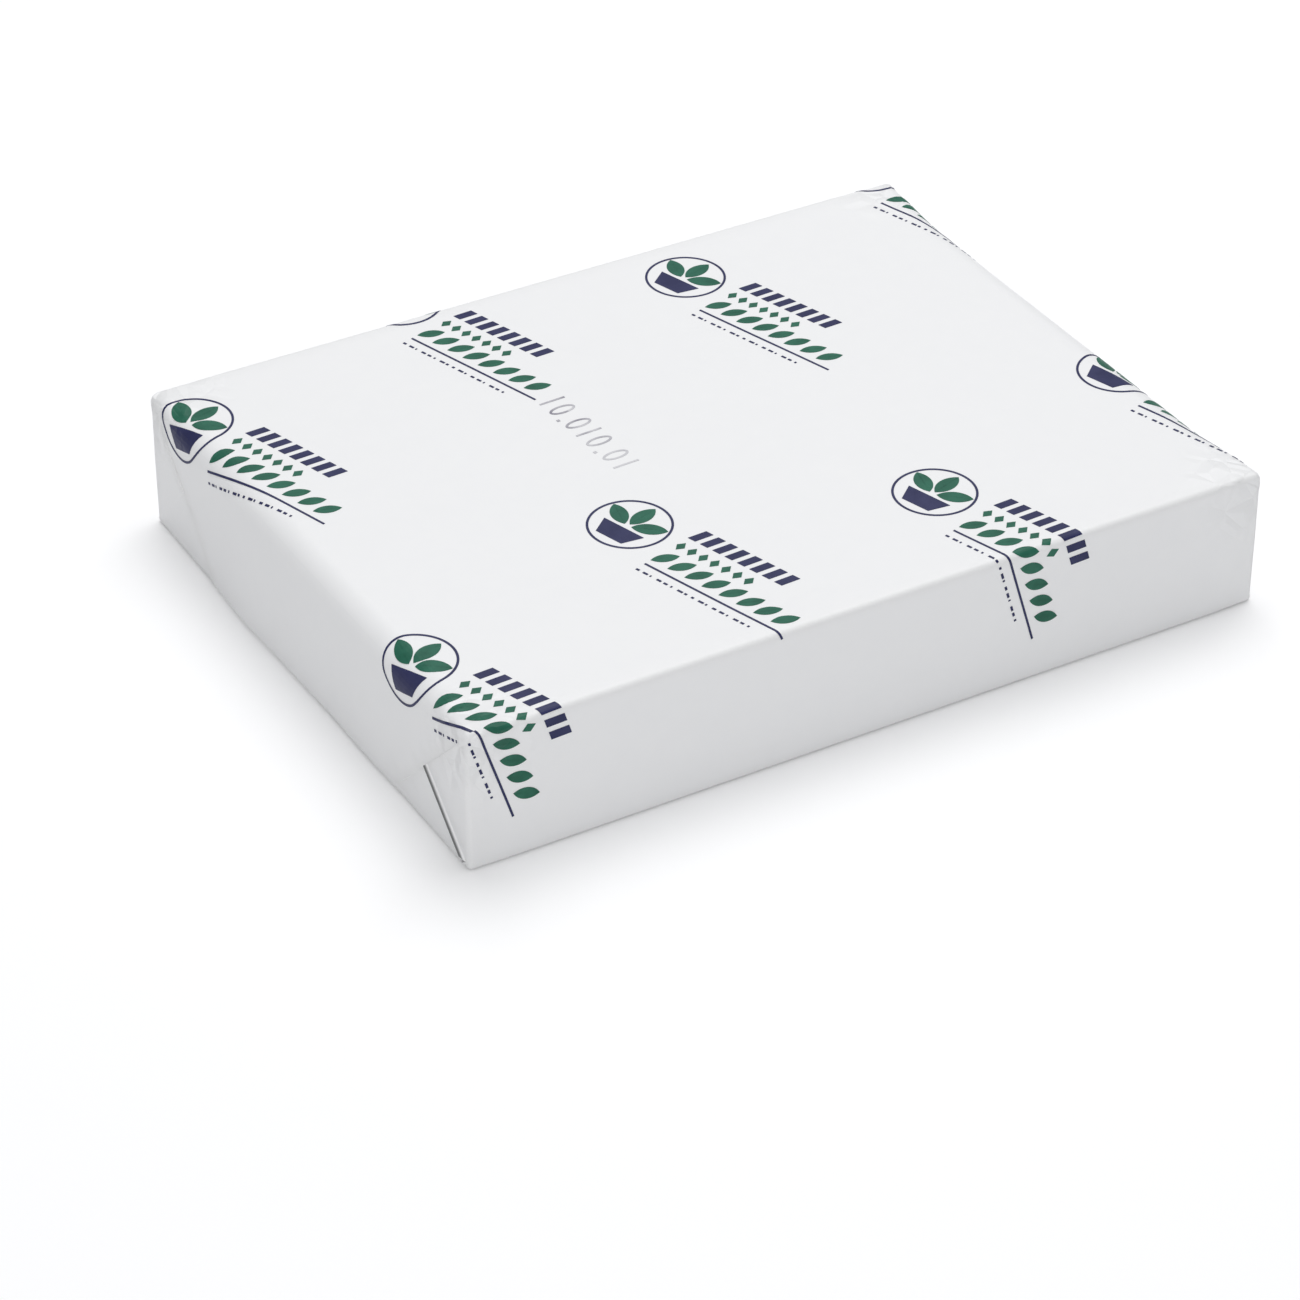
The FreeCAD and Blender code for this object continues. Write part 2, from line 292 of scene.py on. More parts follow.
def crumpled(point):
    """Inward dents of the bunched paper round the four top corners."""
    corner = Vector((math.copysign(HALF_LENGTH, point.x), math.copysign(HALF_WIDTH, point.y), HEIGHT))
    near = 1 - ease((point - corner).length / CRUMPLE_REACH)
    if near <= 0:
        return Vector((0, 0, 0))
    dent = CRUMPLE * near * (2.2 * abs(noise.noise(point / CRUMPLE_SIZE)) + 0.1)
    return -dent * Vector((
        math.copysign(ease((abs(point.x) - HALF_LENGTH + EDGE_RADIUS) / EDGE_RADIUS), point.x),
        math.copysign(ease((abs(point.y) - HALF_WIDTH + EDGE_RADIUS) / EDGE_RADIUS), point.y),
        ease((point.z - HEIGHT + SOFT_RADIUS) / SOFT_RADIUS),
    ))


def drawn_in(point):
    """The long walls curve inwards a little towards the upright corners."""
    share = max(0.0, (abs(point.x) - HALF_LENGTH + CORNER_RUN) / CORNER_RUN)
    slack = RIGHT_SLACK if point.x > 0 else LEFT_SLACK
    at_wall = ease((abs(point.y) - HALF_WIDTH + SLACK_RISE) / SLACK_RISE)
    below_top = 1 - 0.6 * ease((point.z - HEIGHT + SLACK_RISE) / SLACK_RISE)
    inwards = slack * share ** 2 * at_wall * below_top
    return Vector((0, -math.copysign(inwards, point.y), 0))


def settle(point):
    """The paper's own shape: swollen ends, drawn-in corners, the lap underneath and faint waves."""
    x, y, z = pressed_foot(point)
    near_end = ease((abs(x) - (HALF_LENGTH - SOFT_RADIUS)) / SOFT_RADIUS)
    if near_end > 0:
        over_lip = ease((z - LIP_LEVEL) / LIP_HEIGHT)
        across = y if x < 0 else -y
        x += math.copysign(end_front(across, z) * over_lip * near_end, x)
    near_top = ease((z - (HEIGHT - SOFT_RADIUS)) / SOFT_RADIUS)
    inside = ease((HALF_WIDTH - abs(y)) / CALM_TOP)
    lumpy = 0.5 + 0.5 * noise.noise(Vector((point.x / WAVE_LENGTH, point.y / WAVE_LENGTH, 0)))
    z -= WAVE * inside * near_top * lumpy
    if abs(point.y) > HALF_WIDTH - 0.0001:
        lumpy = 0.5 + 0.5 * noise.noise(Vector((point.x / WAVE_LENGTH, point.z / WAVE_LENGTH, 5.0)))
        upright = ease(point.z / CALM_WALL) * ease((HEIGHT - point.z) / CALM_WALL)
        y -= math.copysign(WAVE * upright * lumpy, y)
    moved = Vector((x, y, z)) + crumpled(point) + drawn_in(point)
    level = UNDERSIDE + (LAP_STEP if point.y > LAP_EDGE + STEP_WIDTH * 0.5 else 0.0)
    moved.z = max(moved.z, level)
    return moved


def move_points(piece, shaped):
    """Give each point of a piece its new place."""
    for vertex in piece.data.vertices:
        vertex.co = shaped(vertex.co)


def mark_folds(block):
    """Two masks on the wrapper: its folds, where the coating is cracked, and painted shade in the narrow
    gaps.

    The painted shade stands for the shadow in the open slit at each end, and along the line where the lower
    edges meet the table.
    """
    folds = block.data.attributes.new("crease", "FLOAT", "POINT")
    gap_shades = block.data.attributes.new("slit", "FLOAT", "POINT")
    for vertex in block.data.vertices:
        x, y, z = vertex.co
        to_side = HALF_WIDTH - abs(y)
        to_end = HALF_LENGTH - abs(x)
        to_top = HEIGHT - z
        edges = [
            math.hypot(to_side, to_top), math.hypot(to_side, z),
            math.hypot(to_side, to_end), math.hypot(to_end, z),
        ]
        beyond_flap = abs(y) - (HALF_WIDTH - HEIGHT + z)
        if to_end < EDGE_RADIUS:
            edges.append(abs(beyond_flap) * 0.7)
        folds.data[vertex.index].value = 1 - ease(min(edges) / CREASE_REACH)
        in_slit = to_end < 1e-5 and beyond_flap > STEP_WIDTH and abs(z - to_side) < SLIT_WIDTH * 0.3
        # Painted shade: the open slit's floor is coloured dark in place of the shadow inside it.
        dark = 1.0 if in_slit and to_side > SLIT_START and x * y > 0 else 0.0
        # Painted contact shadow: a darker band along the foot of the ends and the long walls.
        if z < FOOT_SHADE_HEIGHT and min(to_side, to_end) < EDGE_RADIUS * 0.9:
            dark = FOOT_SHADE_AT_END if to_end < to_side else FOOT_SHADE_AT_SIDE
        gap_shades.data[vertex.index].value = dark


def node(tree, kind, place, **values):
    """Add a shader node and set its named inputs or properties."""
    made = tree.nodes.new(kind)
    made.location = place
    for name, value in values.items():
        if name in made.inputs:
            made.inputs[name].default_value = value
        else:
            setattr(made, name, value)
    return made


def paper_grain_group():
    """Coated paper's own surface: fibres under the coating, faint cockling and a cloudy tone."""
    group = bpy.data.node_groups.new("coated_paper_grain", "ShaderNodeTree")
    for name, value in (("Cockle", 1.0), ("Fibre", 0.02), ("Wrinkle", 14.0)):
        socket = group.interface.new_socket(name, in_out="INPUT", socket_type="NodeSocketFloat")
        socket.default_value = value
    group.interface.new_socket("Height", in_out="OUTPUT", socket_type="NodeSocketFloat")
    group.interface.new_socket("Cloud", in_out="OUTPUT", socket_type="NodeSocketFloat")
    group.interface.new_socket("Fibres", in_out="OUTPUT", socket_type="NodeSocketFloat")
    ins = node(group, "NodeGroupInput", (-900, 0))
    outs = node(group, "NodeGroupOutput", (500, 0))
    place = node(group, "ShaderNodeTexCoord", (-900, -300))
    cockle = node(group, "ShaderNodeTexNoise", (-600, 200), Scale=38.0, Detail=2.0, Roughness=0.4)
    fibre = node(group, "ShaderNodeTexNoise", (-600, -100), Scale=1400.0, Detail=3.0, Roughness=0.6)
    cloud = node(group, "ShaderNodeTexNoise", (-600, -400), Scale=160.0, Detail=4.0, Roughness=0.55)
    for texture in (cockle, fibre, cloud):
        group.links.new(place.outputs["Object"], texture.inputs["Vector"])
    folded = node(group, "ShaderNodeVectorMath", (-700, 600), operation="ABSOLUTE")
    apart = node(group, "ShaderNodeVectorMath", (-500, 600), operation="DISTANCE")
    apart.inputs[1].default_value = (HALF_LENGTH, HALF_WIDTH, HEIGHT)
    near = node(group, "ShaderNodeMapRange", (-300, 600), interpolation_type="SMOOTHSTEP")
    near.inputs["From Min"].default_value = CRUMPLE_REACH * 1.2
    near.inputs["From Max"].default_value = 0.003
    facets = node(group, "ShaderNodeTexVoronoi", (-600, 900), feature="DISTANCE_TO_EDGE", Scale=120.0)
    group.links.new(place.outputs["Object"], folded.inputs[0])
    group.links.new(folded.outputs[0], apart.inputs[0])
    group.links.new(apart.outputs["Value"], near.inputs["Value"])
    group.links.new(place.outputs["Object"], facets.inputs["Vector"])
    bunched = node(group, "ShaderNodeMath", (-100, 700), operation="MULTIPLY")
    wrinkled = node(group, "ShaderNodeMath", (100, 600), operation="MULTIPLY_ADD")
    group.links.new(facets.outputs["Distance"], bunched.inputs[0])
    group.links.new(near.outputs["Result"], bunched.inputs[1])
    group.links.new(bunched.outputs[0], wrinkled.inputs[0])
    group.links.new(ins.outputs["Wrinkle"], wrinkled.inputs[1])
    tall = node(group, "ShaderNodeMath", (-300, 200), operation="MULTIPLY")
    fine = node(group, "ShaderNodeMath", (-300, -100), operation="MULTIPLY")
    both = node(group, "ShaderNodeMath", (0, 100), operation="ADD")
    group.links.new(cockle.outputs["Fac"], tall.inputs[0])
    group.links.new(ins.outputs["Cockle"], tall.inputs[1])
    group.links.new(fibre.outputs["Fac"], fine.inputs[0])
    group.links.new(ins.outputs["Fibre"], fine.inputs[1])
    group.links.new(tall.outputs[0], both.inputs[0])
    group.links.new(fine.outputs[0], both.inputs[1])
    group.links.new(both.outputs[0], wrinkled.inputs[2])
    group.links.new(wrinkled.outputs[0], outs.inputs["Height"])
    group.links.new(cloud.outputs["Fac"], outs.inputs["Cloud"])
    group.links.new(fibre.outputs["Fac"], outs.inputs["Fibres"])
    return group


paper_grain = paper_grain_group()


def mix_colour(tree, place, factor, first, second):
    """Blend two colours by a mask."""
    mix = node(tree, "ShaderNodeMix", place, data_type="RGBA")
    tree.links.new(factor, mix.inputs[0])
    for socket, colour in ((mix.inputs[6], first), (mix.inputs[7], second)):
        if isinstance(colour, tuple):
            socket.default_value = colour
        else:
            tree.links.new(colour, socket)
    return mix.outputs[2]


def wrapper_paper():
    """White coated paper: faint sheen, cloudy tone, rougher, duller folds, and painted shade in the end slit
    and along the foot.
    """
    material = bpy.data.materials.new("wrapper_paper")
    material.use_nodes = True
    tree = material.node_tree
    shader = tree.nodes["Principled BSDF"]
    shader.inputs["Specular IOR Level"].default_value = 0.45
    grain = node(tree, "ShaderNodeGroup", (-900, 0), node_tree=paper_grain)
    crease = node(tree, "ShaderNodeAttribute", (-900, 300), attribute_name="crease")
    cloudy = mix_colour(tree, (-600, 200), grain.outputs["Cloud"], PAPER_CLOUD, PAPER_WHITE)
    worn = node(tree, "ShaderNodeMath", (-600, 450), operation="MULTIPLY")
    tree.links.new(crease.outputs["Fac"], worn.inputs[0])
    tree.links.new(grain.outputs["Fibres"], worn.inputs[1])
    colour = mix_colour(tree, (-300, 200), worn.outputs[0], cloudy, PAPER_WORN)
    # Painted shade: the slit mask darkens the colour in the end slit and along the foot, in place of the
    # shadow there.
    slit = node(tree, "ShaderNodeAttribute", (-600, 700), attribute_name="slit")
    shade_share = node(tree, "ShaderNodeMapRange", (-300, 700), interpolation_type="SMOOTHSTEP")
    shade_share.inputs["From Min"].default_value = 0.2
    shade_share.inputs["From Max"].default_value = 0.75
    tree.links.new(slit.outputs["Fac"], shade_share.inputs["Value"])
    shaded = mix_colour(tree, (-100, 400), shade_share.outputs["Result"], colour, PAINTED_GAP_SHADE)
    tree.links.new(shaded, shader.inputs["Base Color"])
    rough = node(tree, "ShaderNodeMapRange", (-300, -100))
    rough.inputs["To Min"].default_value = 0.42
    rough.inputs["To Max"].default_value = 0.62
    tree.links.new(worn.outputs[0], rough.inputs["Value"])
    tree.links.new(rough.outputs["Result"], shader.inputs["Roughness"])
    bump = node(tree, "ShaderNodeBump", (-300, -400), Strength=0.35, Distance=0.0006)
    tree.links.new(grain.outputs["Height"], bump.inputs["Height"])
    tree.links.new(bump.outputs["Normal"], shader.inputs["Normal"])
    return material


wrapper = folded_block()
score_ends()
bpy.ops.object.mode_set(mode="OBJECT")
mark_folds(wrapper)
move_points(wrapper, tighten)
move_points(wrapper, settle)
bpy.ops.object.shade_smooth_by_angle(angle=math.radians(32))
wrapper.data.materials.append(wrapper_paper())
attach(wrapper, "root")
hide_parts("wrapped_ream")

# The navy print: dark blue ink, printed on the flat wrapper before it is folded. Each mark has the
# outline of a round emblem, a flower pot, a row of slanted dashes and a thin rule, and the marks
# repeat in slanting columns over every panel, so that the folds and edges cut through them.
MARK_ANGLE = math.radians(-72.7)
FIRST_COLUMN = -0.1488
COLUMN_PITCH = 0.0906
EVEN_ROW = -0.0597
ODD_ROW = -0.0285
ROW_PITCH = 0.1524
RING_ALONG = 0.0105
RING_UP = 0.0105
RING_RADIUS = 0.0135
RING_STROKE = 0.0008
POT_RIM_WIDTH = 0.0165
POT_FOOT_WIDTH = 0.0105
POT_RIM_LEVEL = -0.0026
POT_FOOT_LEVEL = -0.0096
ROW_START = 0.0285
DASH_LEVEL = 0.017
DASH_COUNT = 8
DASH_PITCH = 0.005
DASH_WIDTH = 0.003
DASH_HEIGHT = 0.0065
DASH_SLANT = 0.0017
RULE_LEVEL = -0.0026
RULE_LENGTH = 0.056
RULE_STROKE = 0.00075
SMALL_LEVEL = -0.0064
SMALL_HEIGHT = 0.0008
SMALL_COUNT = 17
SMALL_PITCH = 0.0028
SMALL_WIDTH = 0.0013
SMALL_SPREAD = 0.0008
MARK_REACH = ROW_START + RULE_LENGTH
FILM_FRONT = 0.00012
FILM_DEPTH = 0.0001
FOLD_MARGIN = 0.0003
WALL_RUN = EDGE_RADIUS * math.pi / 2 + HEIGHT - 2 * EDGE_RADIUS
WALL_START = HALF_WIDTH - EDGE_RADIUS
NAVY_INK = (0.014, 0.017, 0.075, 1.0)
NAVY_THIN = (0.028, 0.032, 0.105, 1.0)


def flat_quad(width, height, middle):
    """A flat rectangle on the sheet, in edit mode."""
    bpy.ops.object.select_all(action="DESELECT")
    bpy.ops.mesh.primitive_plane_add(size=1, location=(middle[0], middle[1], 0))
    quad = bpy.context.object
    quad.scale = (width, height, 1)
    bpy.ops.object.transform_apply(location=True, rotation=True, scale=True)
    bpy.ops.object.mode_set(mode="EDIT")
    bpy.ops.mesh.select_mode(type="EDGE")
    return quad


def emblem_ring():
    """The thin round outline of the emblem: a disc, inset by the stroke and emptied."""
    bpy.ops.object.select_all(action="DESELECT")
    bpy.ops.mesh.primitive_circle_add(
        vertices=64, radius=RING_RADIUS, fill_type="NGON", location=(RING_ALONG, RING_UP, 0),
    )
    bpy.ops.object.transform_apply(location=True, rotation=True, scale=True)
    bpy.ops.object.mode_set(mode="EDIT")
    bpy.ops.mesh.select_mode(type="FACE")
    bpy.ops.mesh.select_all(action="SELECT")
    bpy.ops.mesh.inset(thickness=RING_STROKE)
    bpy.ops.mesh.delete(type="FACE")
    bpy.ops.object.mode_set(mode="OBJECT")
    return bpy.context.object


def emblem_pot():
    """The flower pot: a rectangle whose foot is drawn in."""
    level = RING_UP + (POT_RIM_LEVEL + POT_FOOT_LEVEL) / 2
    pot = flat_quad(POT_RIM_WIDTH, POT_RIM_LEVEL - POT_FOOT_LEVEL, (RING_ALONG, level))
    pick("edges", lambda edge, middle: middle.y < level - 0.001)
    bpy.ops.transform.resize(
        value=(POT_FOOT_WIDTH / POT_RIM_WIDTH, 1, 1), center_override=(RING_ALONG, level, 0),
    )
    bpy.ops.object.mode_set(mode="OBJECT")
    return pot


def slanted_dash():
    """One dash, its upper edge moved along so that it leans."""
    middle = (ROW_START + DASH_WIDTH / 2, DASH_LEVEL + DASH_HEIGHT / 2)
    dash = flat_quad(DASH_WIDTH, DASH_HEIGHT, middle)
    pick("edges", lambda edge, middle: middle.y > DASH_LEVEL + DASH_HEIGHT * 0.9)
    bpy.ops.transform.translate(value=(DASH_SLANT, 0, 0))
    bpy.ops.object.mode_set(mode="OBJECT")
    return dash


def thin_rule():
    """The thin line under the rows."""
    rule = flat_quad(RULE_LENGTH, RULE_STROKE, (ROW_START + RULE_LENGTH / 2, RULE_LEVEL + RULE_STROKE / 2))
    bpy.ops.object.mode_set(mode="OBJECT")
    return rule


def small_dashes():
    """The row of small dashes under the rule, unequal in length."""
    dashes = []
    for k in range(SMALL_COUNT):
        width = SMALL_WIDTH + SMALL_SPREAD * math.sin(2.3 * k)
        middle = (ROW_START + k * SMALL_PITCH + width / 2, SMALL_LEVEL + SMALL_HEIGHT / 2)
        dashes.append(flat_quad(width, SMALL_HEIGHT, middle))
        bpy.ops.object.mode_set(mode="OBJECT")
    return dashes


def copied(form, place, turn=0.0):
    """A copy of a flat form with its own mesh, turned about the origin and then moved."""
    copy = form.copy()
    copy.data = form.data.copy()
    bpy.context.collection.objects.link(copy)
    copy.matrix_world = Matrix.Translation((place[0], place[1], 0)) @ Matrix.Rotation(turn, 4, "Z")
    return copy


def joined(pieces, name):
    """Several forms as one object at the origin."""
    bpy.ops.object.select_all(action="DESELECT")
    for piece in pieces:
        piece.select_set(True)
    bpy.context.view_layer.objects.active = pieces[0]
    if len(pieces) > 1:
        bpy.ops.object.join()
    whole = bpy.context.object
    whole.name = name
    bpy.ops.object.transform_apply(location=True, rotation=True, scale=True)
    return whole


def mark_places():
    """Where each mark's base line starts on the unfolded wrapper, with the top panel in its place."""
    across = HALF_LENGTH + HEIGHT + MARK_REACH
    along = 2 * HALF_WIDTH + HEIGHT + LAP_EDGE + MARK_REACH
    places = []
    columns = range(math.floor((-across - FIRST_COLUMN) / COLUMN_PITCH), math.ceil(across / COLUMN_PITCH) + 2)
    for column in columns:
        first = EVEN_ROW if column % 2 == 0 else ODD_ROW
        for row in range(math.floor((-along - first) / ROW_PITCH), math.ceil(along / ROW_PITCH) + 1):
            places.append((FIRST_COLUMN + column * COLUMN_PITCH, first + row * ROW_PITCH))
    return places


def printed_sheet(forms, name):
    """The whole unfolded sheet of one ink: the mark's forms, copied to every place."""
    mark = joined(forms, name)
    sheet = joined([copied(mark, place, MARK_ANGLE) for place in mark_places()], name + "_sheet")
    bpy.data.objects.remove(mark)
    return sheet


def bend(distance, radius):
    """How far the paper has gone on and how far it has turned away, past the start of a bend."""
    if distance <= 0:
        return distance, 0.0
    turn = distance / radius
    if turn < math.pi / 2:
        return radius * math.sin(turn), radius * (1 - math.cos(turn))
    return radius, radius + distance - radius * math.pi / 2


def on_top(x, y):
    """The top panel, and the flaps folded down from it over the ends."""
    on, down = bend(abs(x) - (HALF_LENGTH - SOFT_RADIUS), SOFT_RADIUS)
    return Vector((math.copysign(HALF_LENGTH - SOFT_RADIUS + on, x), y, HEIGHT - down))


def on_wall(x, y):
    """A long wall, and the tucks folded in from it at the ends."""
    on, down = bend(abs(y) - (HALF_WIDTH - EDGE_RADIUS), EDGE_RADIUS)
    past, inwards = bend(abs(x) - (HALF_LENGTH - EDGE_RADIUS), EDGE_RADIUS)
    return Vector((
        math.copysign(HALF_LENGTH - EDGE_RADIUS + past, x),
        math.copysign(HALF_WIDTH - EDGE_RADIUS + on - inwards, y),
        HEIGHT - down,
    ))


def on_underside(x, y):
    """Half of the underside, reached round the lower edge of its wall."""
    on, inwards = bend(abs(y) - WALL_START - WALL_RUN, EDGE_RADIUS)
    return Vector((x, math.copysign(1, y) * (HALF_WIDTH - inwards), EDGE_RADIUS - on))


def trimmed(low, high, axis):
    """Keep the part of the mesh between two places along an axis."""
    normal = Vector((0, 0, 0))
    normal[axis] = 1
    for place, side in ((low, "clear_inner"), (high, "clear_outer")):
        bpy.ops.mesh.select_all(action="SELECT")
        bpy.ops.mesh.bisect(plane_co=normal * place, plane_no=normal, **{side: True})


def cut_bend(start, radius, segments, axis):
    """Cut the flat sheet across where it will bend, as finely as the wrapper's own edge."""
    for k in range(segments + 1):
        place = Vector((0, 0, 0))
        place[axis] = 1
        distance = start + radius * math.pi / 2 * k / segments
        cut_all(place * distance, place)
        cut_all(-place * distance, place)


def keep_end(reach, hand, level, rise, side):
    """Round the ends, keep what lies on one side of a slanting fold."""
    bpy.ops.mesh.select_mode(type="FACE")
    pick("faces", lambda face, middle: abs(middle.x) > reach and middle.z < HEIGHT - TIGHT_RADIUS / 8)
    shift = FOLD_MARGIN if side == "clear_inner" else -FOLD_MARGIN
    bpy.ops.mesh.bisect(
        plane_co=(0, hand * (HALF_WIDTH + shift), level), plane_no=(0, hand, -rise), **{side: True},
    )


def panel(sheet, limits, bends, fold):
    """One panel's share of the printed sheet: trimmed, cut where it bends, and folded."""
    share = sheet.copy()
    share.data = sheet.data.copy()
    bpy.context.collection.objects.link(share)
    bpy.ops.object.select_all(action="DESELECT")
    share.select_set(True)
    bpy.context.view_layer.objects.active = share
    bpy.ops.object.mode_set(mode="EDIT")
    for low, high, axis in limits:
        trimmed(low, high, axis)
    for start, radius, segments, axis in bends:
        cut_bend(start, radius, segments, axis)
    bpy.ops.object.mode_set(mode="OBJECT")
    move_points(share, lambda point: fold(point.x, point.y))
    return share


def top_share(sheet):
    """The top and the flaps that hang from it over the ends, down to their slanting edges."""
    flap = HALF_LENGTH - 2 * SOFT_RADIUS + SOFT_RADIUS * math.pi / 2 + HEIGHT - 2 * FLAP_LIFT
    soft = (HALF_LENGTH - SOFT_RADIUS, SOFT_RADIUS, SOFT_SEGMENTS, 0)
    share = panel(sheet, ((-flap, flap, 0), (-WALL_START, WALL_START, 1)), (soft,), on_top)
    move_points(share, tighten)
    bpy.ops.object.mode_set(mode="EDIT")
    for hand in (-1, 1):
        keep_end(HALF_LENGTH - TIGHT_RADIUS, hand, HEIGHT, 1, "clear_outer")
    bpy.ops.object.mode_set(mode="OBJECT")
    return share


def wall_share(sheet, hand):
    """A long wall and its tucks, without the top corners that the soft fold rounds off."""
    tuck = HALF_LENGTH + HEIGHT / 2
    corner = (HALF_LENGTH - EDGE_RADIUS, EDGE_RADIUS, EDGE_SEGMENTS, 0)
    brow = (WALL_START, EDGE_RADIUS, EDGE_SEGMENTS, 1)
    wall = sorted((hand * WALL_START, hand * (WALL_START + WALL_RUN)))
    share = panel(sheet, ((-tuck, tuck, 0), (*wall, 1)), (corner, brow), on_wall)
    bpy.ops.object.mode_set(mode="EDIT")
    rounded_off = TIGHT_RADIUS * (2 - math.sqrt(2))
    for side in (-1, 1):
        bpy.ops.mesh.select_all(action="SELECT")
        bpy.ops.mesh.bisect(
            plane_co=(side * (HALF_LENGTH - rounded_off), 0, HEIGHT), plane_no=(side, 0, 1), clear_outer=True,
        )
    keep_end(HALF_LENGTH - EDGE_RADIUS, hand, HEIGHT, 1, "clear_inner")
    keep_end(HALF_LENGTH - 1e-5, hand, 0, -1, "clear_inner")
    bpy.ops.object.mode_set(mode="OBJECT")
    return share


def underside_share(sheet, hand):
    """Half of the flat underside, up to the glued lap."""
    end = HALF_LENGTH - EDGE_RADIUS
    foot = (WALL_START + WALL_RUN, EDGE_RADIUS, EDGE_SEGMENTS, 1)
    half = WALL_RUN + EDGE_RADIUS * math.pi / 2 + WALL_START - hand * LAP_EDGE - FOLD_MARGIN
    limits = sorted((hand * (WALL_START + WALL_RUN), hand * (WALL_START + half)))
    return panel(sheet, ((-end, end, 0), (*limits, 1)), (foot,), on_underside)


def all_panels(sheet):
    """Every panel of the folded wrapper, each with its share of the print."""
    shares = [top_share(sheet)]
    for hand in (-1, 1):
        shares += [wall_share(sheet, hand), underside_share(sheet, hand)]
    bpy.data.objects.remove(sheet)
    return shares


def film_on_paper(film, material):
    """Lay flat pieces of print on the wrapper: a thin film that follows every wave of the paper."""
    corner = Vector((HALF_LENGTH, HALF_WIDTH, HEIGHT))
    bpy.ops.object.mode_set(mode="EDIT")
    cut_net()
    bpy.ops.mesh.select_mode(type="FACE")
    pick("faces", lambda face, middle: (Vector(map(abs, middle)) - corner).length < CRUMPLE_REACH)
    bpy.ops.mesh.quads_convert_to_tris()
    bpy.ops.mesh.subdivide(number_cuts=2)
    bpy.ops.object.mode_set(mode="OBJECT")
    move_points(film, settle)
    lay = film.modifiers.new("on_paper", "SHRINKWRAP")
    lay.target = wrapper
    lay.wrap_method = "NEAREST_SURFACEPOINT"
    lay.wrap_mode = "ABOVE_SURFACE"
    lay.offset = FILM_FRONT
    bpy.ops.object.modifier_apply(modifier=lay.name)
    body = film.modifiers.new("film", "SOLIDIFY")
    body.thickness = FILM_DEPTH
    body.offset = -1
    bpy.ops.object.modifier_apply(modifier=body.name)
    film.data.materials.append(material)
    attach(film, "root")


def printing_ink(name, full, thin):
    """Printing ink on coated paper: a solid colour that thins where the paper's fibres are proud."""
    material = bpy.data.materials.new(name)
    material.use_nodes = True
    tree = material.node_tree
    shader = tree.nodes["Principled BSDF"]
    shader.inputs["Specular IOR Level"].default_value = 0.3
    grain = node(tree, "ShaderNodeGroup", (-900, 0), node_tree=paper_grain)
    patchy = node(tree, "ShaderNodeMapRange", (-600, 300))
    patchy.inputs["From Min"].default_value = 0.35
    patchy.inputs["From Max"].default_value = 0.75
    tree.links.new(grain.outputs["Cloud"], patchy.inputs["Value"])
    colour = mix_colour(tree, (-300, 200), patchy.outputs["Result"], full, thin)
    tree.links.new(colour, shader.inputs["Base Color"])
    rough = node(tree, "ShaderNodeMapRange", (-300, -100))
    rough.inputs["To Min"].default_value = 0.38
    rough.inputs["To Max"].default_value = 0.55
    tree.links.new(grain.outputs["Fibres"], rough.inputs["Value"])
    tree.links.new(rough.outputs["Result"], shader.inputs["Roughness"])
    bump = node(tree, "ShaderNodeBump", (-300, -400), Strength=0.35, Distance=0.0006)
    tree.links.new(grain.outputs["Height"], bump.inputs["Height"])
    tree.links.new(bump.outputs["Normal"], shader.inputs["Normal"])
    return material


dash = slanted_dash()
navy_forms = [emblem_ring(), emblem_pot(), thin_rule()] + small_dashes()
navy_forms += [copied(dash, (k * DASH_PITCH, 0)) for k in range(DASH_COUNT)]
bpy.data.objects.remove(dash)
navy_sheet = printed_sheet(navy_forms, "navy_mark")
navy_print = joined(all_panels(navy_sheet), "navy_marks")
film_on_paper(navy_print, printing_ink("navy_ink", NAVY_INK, NAVY_THIN))
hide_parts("navy_print")

# The green print: the second ink of the same sheet, put down in register with the navy one. Each
# mark has the leaves of the sprig in its pot, a row of lozenges and a row of leaning leaves.
SPRIG_LEVEL = -0.0016
SPRIG_LEAF_LENGTH = 0.0115
SPRIG_LEAF_WIDTH = 0.0056
SPRIG_TURNS = (90.0, 30.0, 150.0)
SPRIG_GAP = 0.0016
LOZENGE_LEVEL = 0.0098
LOZENGE_COUNT = 7
LOZENGE_PITCH = 0.0046
LOZENGE_WIDTH = 0.0032
LOZENGE_HEIGHT = 0.0046
LEAF_LEVEL = 0.0004
LEAF_COUNT = 8
LEAF_PITCH = 0.0069
LEAF_LENGTH = 0.009
LEAF_WIDTH = 0.004
LEAF_TURN = 56.0
GREEN_INK = (0.008, 0.10, 0.06, 1.0)
GREEN_THIN = (0.02, 0.145, 0.09, 1.0)


def pointed_leaf(length, width):
    """One leaf: a cap cut off a disc, and its mirror image on the other side of the midrib."""
    rise = width / 2
    radius = (length * length / 4 + rise * rise) / (2 * rise)
    bpy.ops.object.select_all(action="DESELECT")
    bpy.ops.mesh.primitive_circle_add(
        vertices=96, radius=radius, fill_type="NGON", location=(length / 2, rise - radius, 0),
    )
    leaf = bpy.context.object
    bpy.ops.object.transform_apply(location=True, rotation=True, scale=True)
    bpy.ops.object.mode_set(mode="EDIT")
    bpy.ops.mesh.select_all(action="SELECT")
    bpy.ops.mesh.bisect(plane_co=(0, 0, 0), plane_no=(0, 1, 0), clear_inner=True)
    bpy.ops.object.mode_set(mode="OBJECT")
    other = leaf.modifiers.new("other_half", "MIRROR")
    other.use_axis = (False, True, False)
    other.merge_threshold = 1e-6
    bpy.ops.object.modifier_apply(modifier=other.name)
    return leaf


